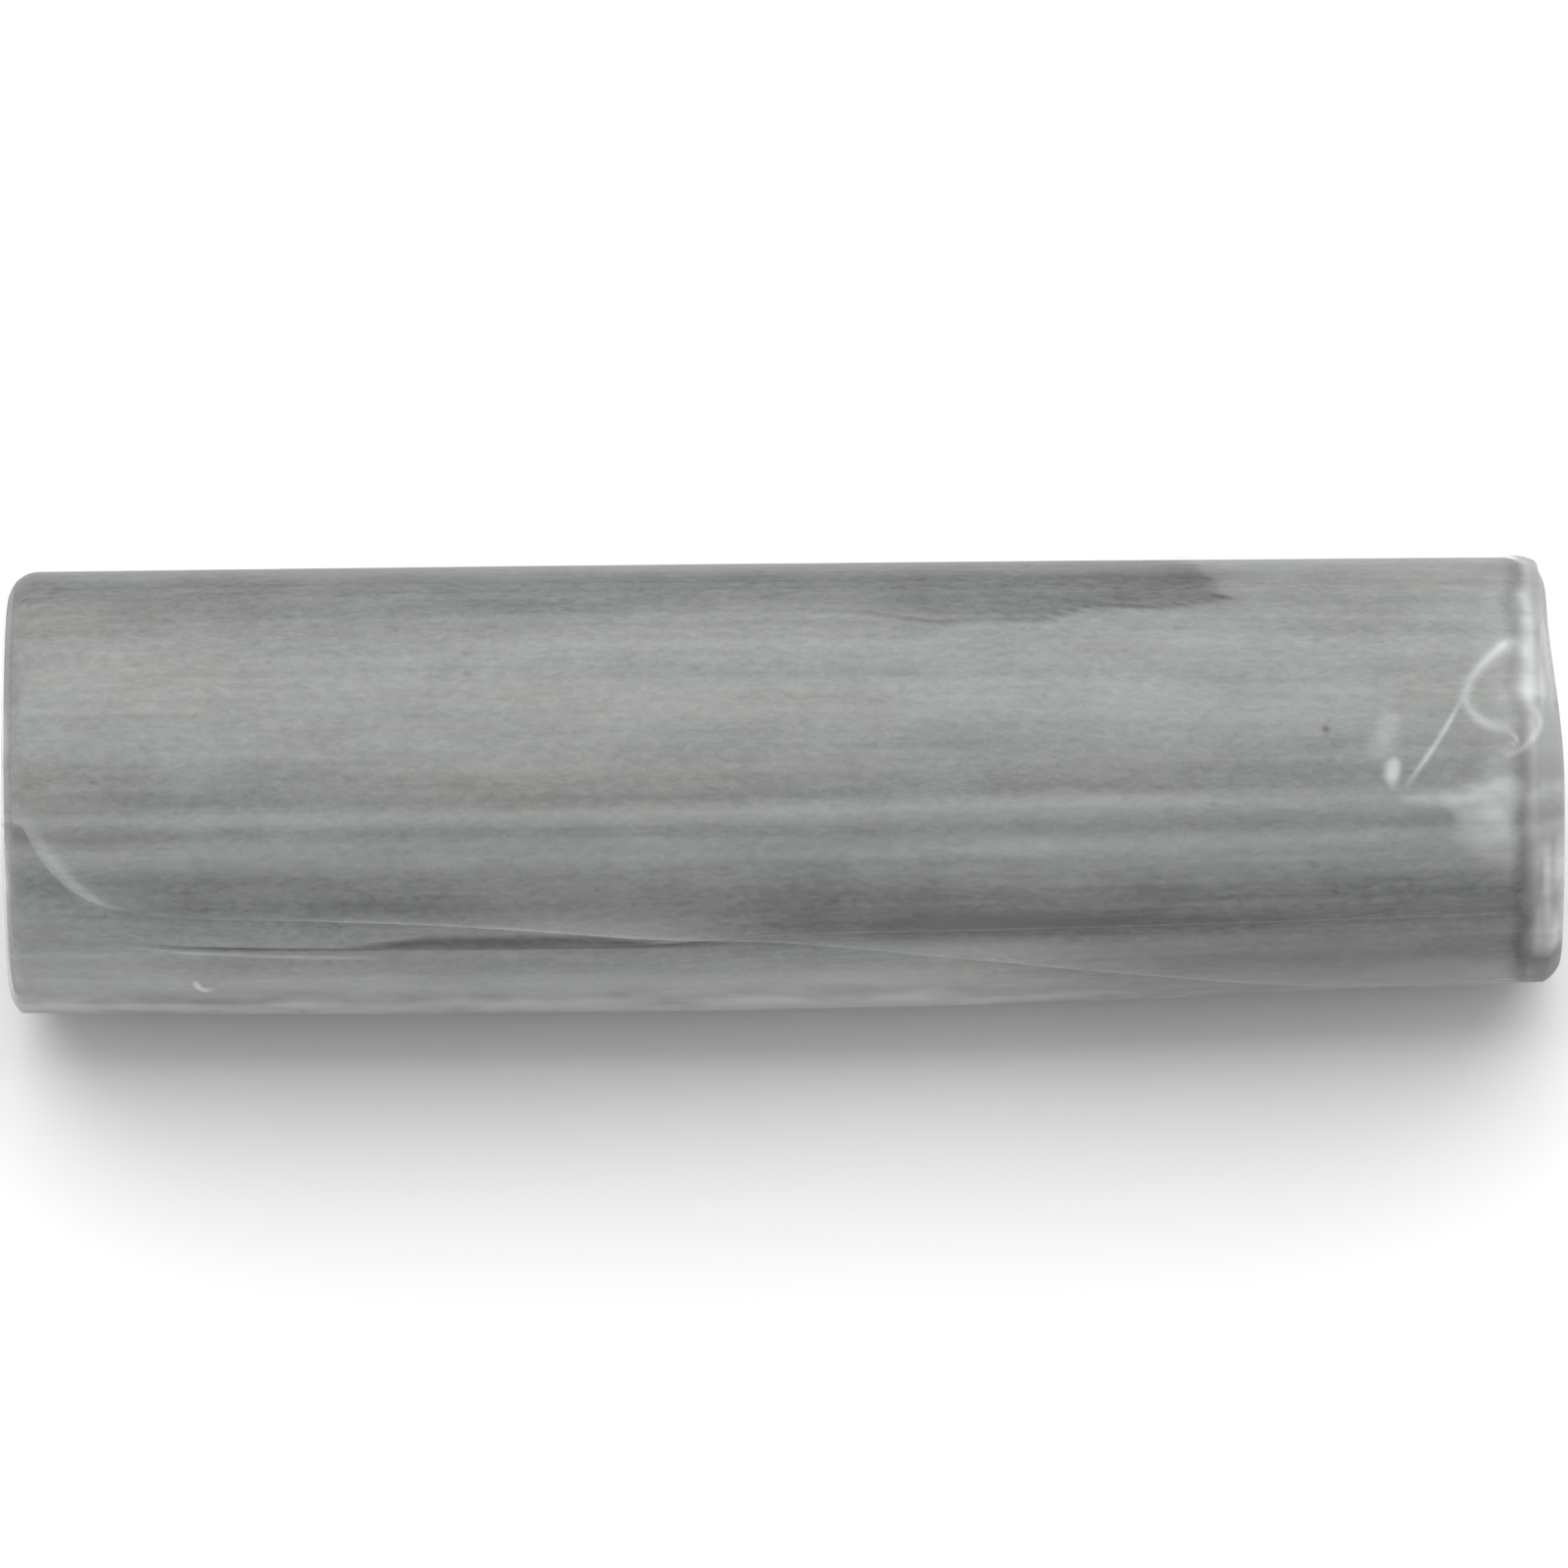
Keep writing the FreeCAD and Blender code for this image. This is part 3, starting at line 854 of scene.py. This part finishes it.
def body_milk(g, crease_and_reflection_milk):
    """How milky the film is along the roll: least where it clings to the paper, most where it stands off it; painted
    highlights of the creases and the free edge and painted reflection patches are added.
    """
    milk = 0.02 + 0.012 * drift(g.held, g.angle, (7, 3), 1.3)
    right_part = smooth_step(-6, 12, g.held)
    pressed = 0.9 * bell(g.below - 31 - 9 * right_part, 9 + 6 * right_part)
    held_down = np.clip(clings(g.held, g.below) + pressed, 0, 1)
    low = between(g.below, 50, 68, 110, 125) * (1 - smooth_step(4, 18, g.x))
    loose = g.hang * smooth_step(56, 82, g.below) * (1 - 0.8 * smooth_step(6, 20, g.held))
    loose = loose * (1 - smooth_step(0.1, 0.9, g.into_rim))
    milk = milk + 0.05 * (1 - held_down) + 0.11 * low + 0.85 * loose
    milk = milk + 0.10 * smooth_step(30, 32.6, g.x) * between(g.below, -70, -55, 22, 32)
    # painted highlight along the film's free edge
    lap_shine = 0.12 + 0.88 * smooth_step(-24, -18, g.held) * (1 - 0.8 * smooth_step(-8, 0, g.held))
    milk = milk + crease_and_reflection_milk + 0.13 * lap_shine * bell(np.abs(g.degrees - g.edge) * ARC, 0.12)
    return milk * (0.25 + 0.75 * smooth_step(0, 2.0, (g.degrees - INNER_EDGE + 360) * ARC))


def end_milk(g, milk, starts):
    """Makes the film milkier over its rims, with a painted glint along the left rim. On the right it turns grey beyond
    `starts`, over the hollow end.
    """
    rim = smooth_step(starts, starts + 0.9, g.x)
    at_right = (milk + rim * (0.93 - milk)) * (1 - 0.86 * g.face)
    # painted glint along the left rim
    glint = bell(g.below - 26, 11) + 0.5 * bell(g.below + 16, 9)
    at_left = milk + smooth_step(0.05, 0.9, g.into_rim) * 0.05 + 0.35 * glint * bell(g.inset - 0.75, 0.22)
    return np.where(g.right, at_right, at_left)


def film_white(g, crease_and_reflection_milk, starts):
    """How white the milky film is: the grey paper shows through it where it hangs and at the right rim."""
    greyed = smooth_step(starts - 0.6, starts + 0.1, g.x)
    white = np.where(g.right, 1 - greyed * (1 - end_tone(g.x, g.below)), 1) - 0.70 * g.hang * (1 - g.face)
    return np.clip(white + g.face + 0.9 * crease_and_reflection_milk * greyed, 0, 1)


def wet_line(x, degrees_down):
    """The brown tide mark along the edge of the place where the film clings, and one dark speck."""
    clear = between(x, 1, 8, 19.6, 19.9) * (0.8 + 0.2 * np.sin(x / 1.9))
    line = 0.62 * clear * bell((degrees_down - cling_limit(x)) * ARC, 0.10)
    line = line + 0.45 * between(x, 17.2, 18.0, 19.6, 19.8) * bell((degrees_down - tongue_top(x)) * ARC, 0.16)
    pool = 0.20 * spot(x, degrees_down, (18.0, -66), (1.7, 1.6))
    speck = 0.95 * spot(x, degrees_down, (23.95, -12.5), (0.13, 0.13))
    corner = 0.12 * smooth_step(8, 22, x) * between(degrees_down, 45, 51, 86, 96)
    return np.clip(line + pool + corner + speck, 0, 1)


def end_pleats(x, angle, core, face):
    """The gathered film on the two end faces: how far pleats stand out, how milky they are, how far they twist."""
    inner = 1 - core
    swirl = np.where(x > 0, 0.75, 0.5) * inner**1.5 * (face > 0)
    count = np.where(x > 0, RIGHT_PLEATS, LEFT_PLEATS)
    turn = angle + swirl
    phase = count * turn / (2 * math.pi) + 0.28 * np.sin(3 * angle + 0.6) + 0.17 * np.sin(5 * angle + 2.0)
    flap = np.floor(phase)
    across = phase - flap
    uneven = np.mod(np.sin(np.mod(flap, count) * 12.9898 + np.sign(x) * 4.1) * 43758.5453, 1)  # fixed for each flap
    fold = np.exp(-across * (4 + 5 * uneven))
    grow = face * inner**0.8
    out = np.where(x > 0, 0.26, 0.15) * fold * grow * (0.5 + 0.7 * uneven)
    dish = np.where(x > 0, -0.5, 0.0) * inner**2 * face
    milk = face * (0.34 * uneven * fold + 0.10 * uneven + 0.03 + 0.35 * bell(core, 0.08))
    return np.sign(x) * (out + dish), milk, swirl


def build_film():
    g = FilmGrid()
    height_map, crease_and_reflection_milk = crease_relief(g)
    # x where the milky rim starts on the right: a little sooner high on the front
    starts = 32.45 - 0.3 * between(g.below, -62, -50, -24, -18) + 0.3 * drift(g.held, g.angle, (9, 1.5), 6.1)
    slack = END_SLACK * (1 - between(g.below, -55, 5, 120, 170))
    x = np.where(g.right, g.x - slack * smooth_step(0, 0.9, (g.x - g.held) / RIGHT_PROUD), g.x)
    shift, pleat_milk, swirl = end_pleats(x, g.angle, g.core, g.face)
    points = on_roll(x + shift, g.angle + swirl, film_radius(g, height_map))
    points[..., 2] = np.maximum(points[..., 2], FLOOR_CLEARANCE)
    faces = [quad[::-1] for quad in grid_faces(*x.shape)]
    piece = add_mesh("film_wrap", points.reshape(-1, 3), faces, film)
    milk = end_milk(g, body_milk(g, crease_and_reflection_milk), starts) + pleat_milk
    paint(piece, "milk", np.clip(milk, 0, MOST_MILK))
    paint(piece, "white", film_white(g, crease_and_reflection_milk, starts))
    paint(piece, "stain", wet_line(g.held, g.below))
    return piece


wrap = build_film()
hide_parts("film_sleeve", "left_film_fold", "right_film_fold")


# ---------------------------------------------------------------- floor and lights
FLOOR_REACH = 3.0  # in metres
FLOOR_LEVELS = (0.86, 0.88)
LAMP_PLACE, LAMP_SIZE, LAMP_POWER = (0.0, 0.31, 0.80), (1.8, 1.30), 10.0
SKY_LEVEL = 0.74


def make_floor():
    material, nodes = new_material("pale_floor")
    level = nodes.spread(nodes.noise((0.02, 0.02, 0.02), detail=2.0), *NOISE_RANGE, *FLOOR_LEVELS)
    surface = nodes.add("ShaderNodeBsdfPrincipled", Base_Color=nodes.colour([level] * 3), Roughness=0.8,
                        Specular_IOR_Level=0.2)
    nodes.surface(surface.outputs["BSDF"])
    mesh = bpy.data.meshes.new("floor")
    corners = [(FLOOR_REACH * a, FLOOR_REACH * b, 0) for a, b in ((-1, -1), (1, -1), (1, 1), (-1, 1))]
    mesh.from_pydata(corners, [], [[0, 1, 2, 3]])
    mesh.materials.append(material)
    floor = bpy.data.objects.new("floor", mesh)
    bpy.context.scene.collection.objects.link(floor)


def make_light(name, place, size, power):
    data = bpy.data.lights.new(name, "AREA")
    data.shape = "RECTANGLE"
    data.size, data.size_y = size
    data.energy = power
    lamp = bpy.data.objects.new(name, data)
    lamp.location = place
    lamp.rotation_euler = (-Vector(place)).to_track_quat("-Z", "Y").to_euler()
    bpy.context.scene.collection.objects.link(lamp)


def make_world(level):
    world = bpy.data.worlds.new("studio")
    world.use_nodes = True
    world.node_tree.nodes["Background"].inputs["Color"].default_value = (level, level, level, 1)
    bpy.context.scene.world = world


make_floor()
make_light("overhead", LAMP_PLACE, LAMP_SIZE, LAMP_POWER)
make_world(SKY_LEVEL)
bpy.context.scene.view_settings.view_transform = "Standard"
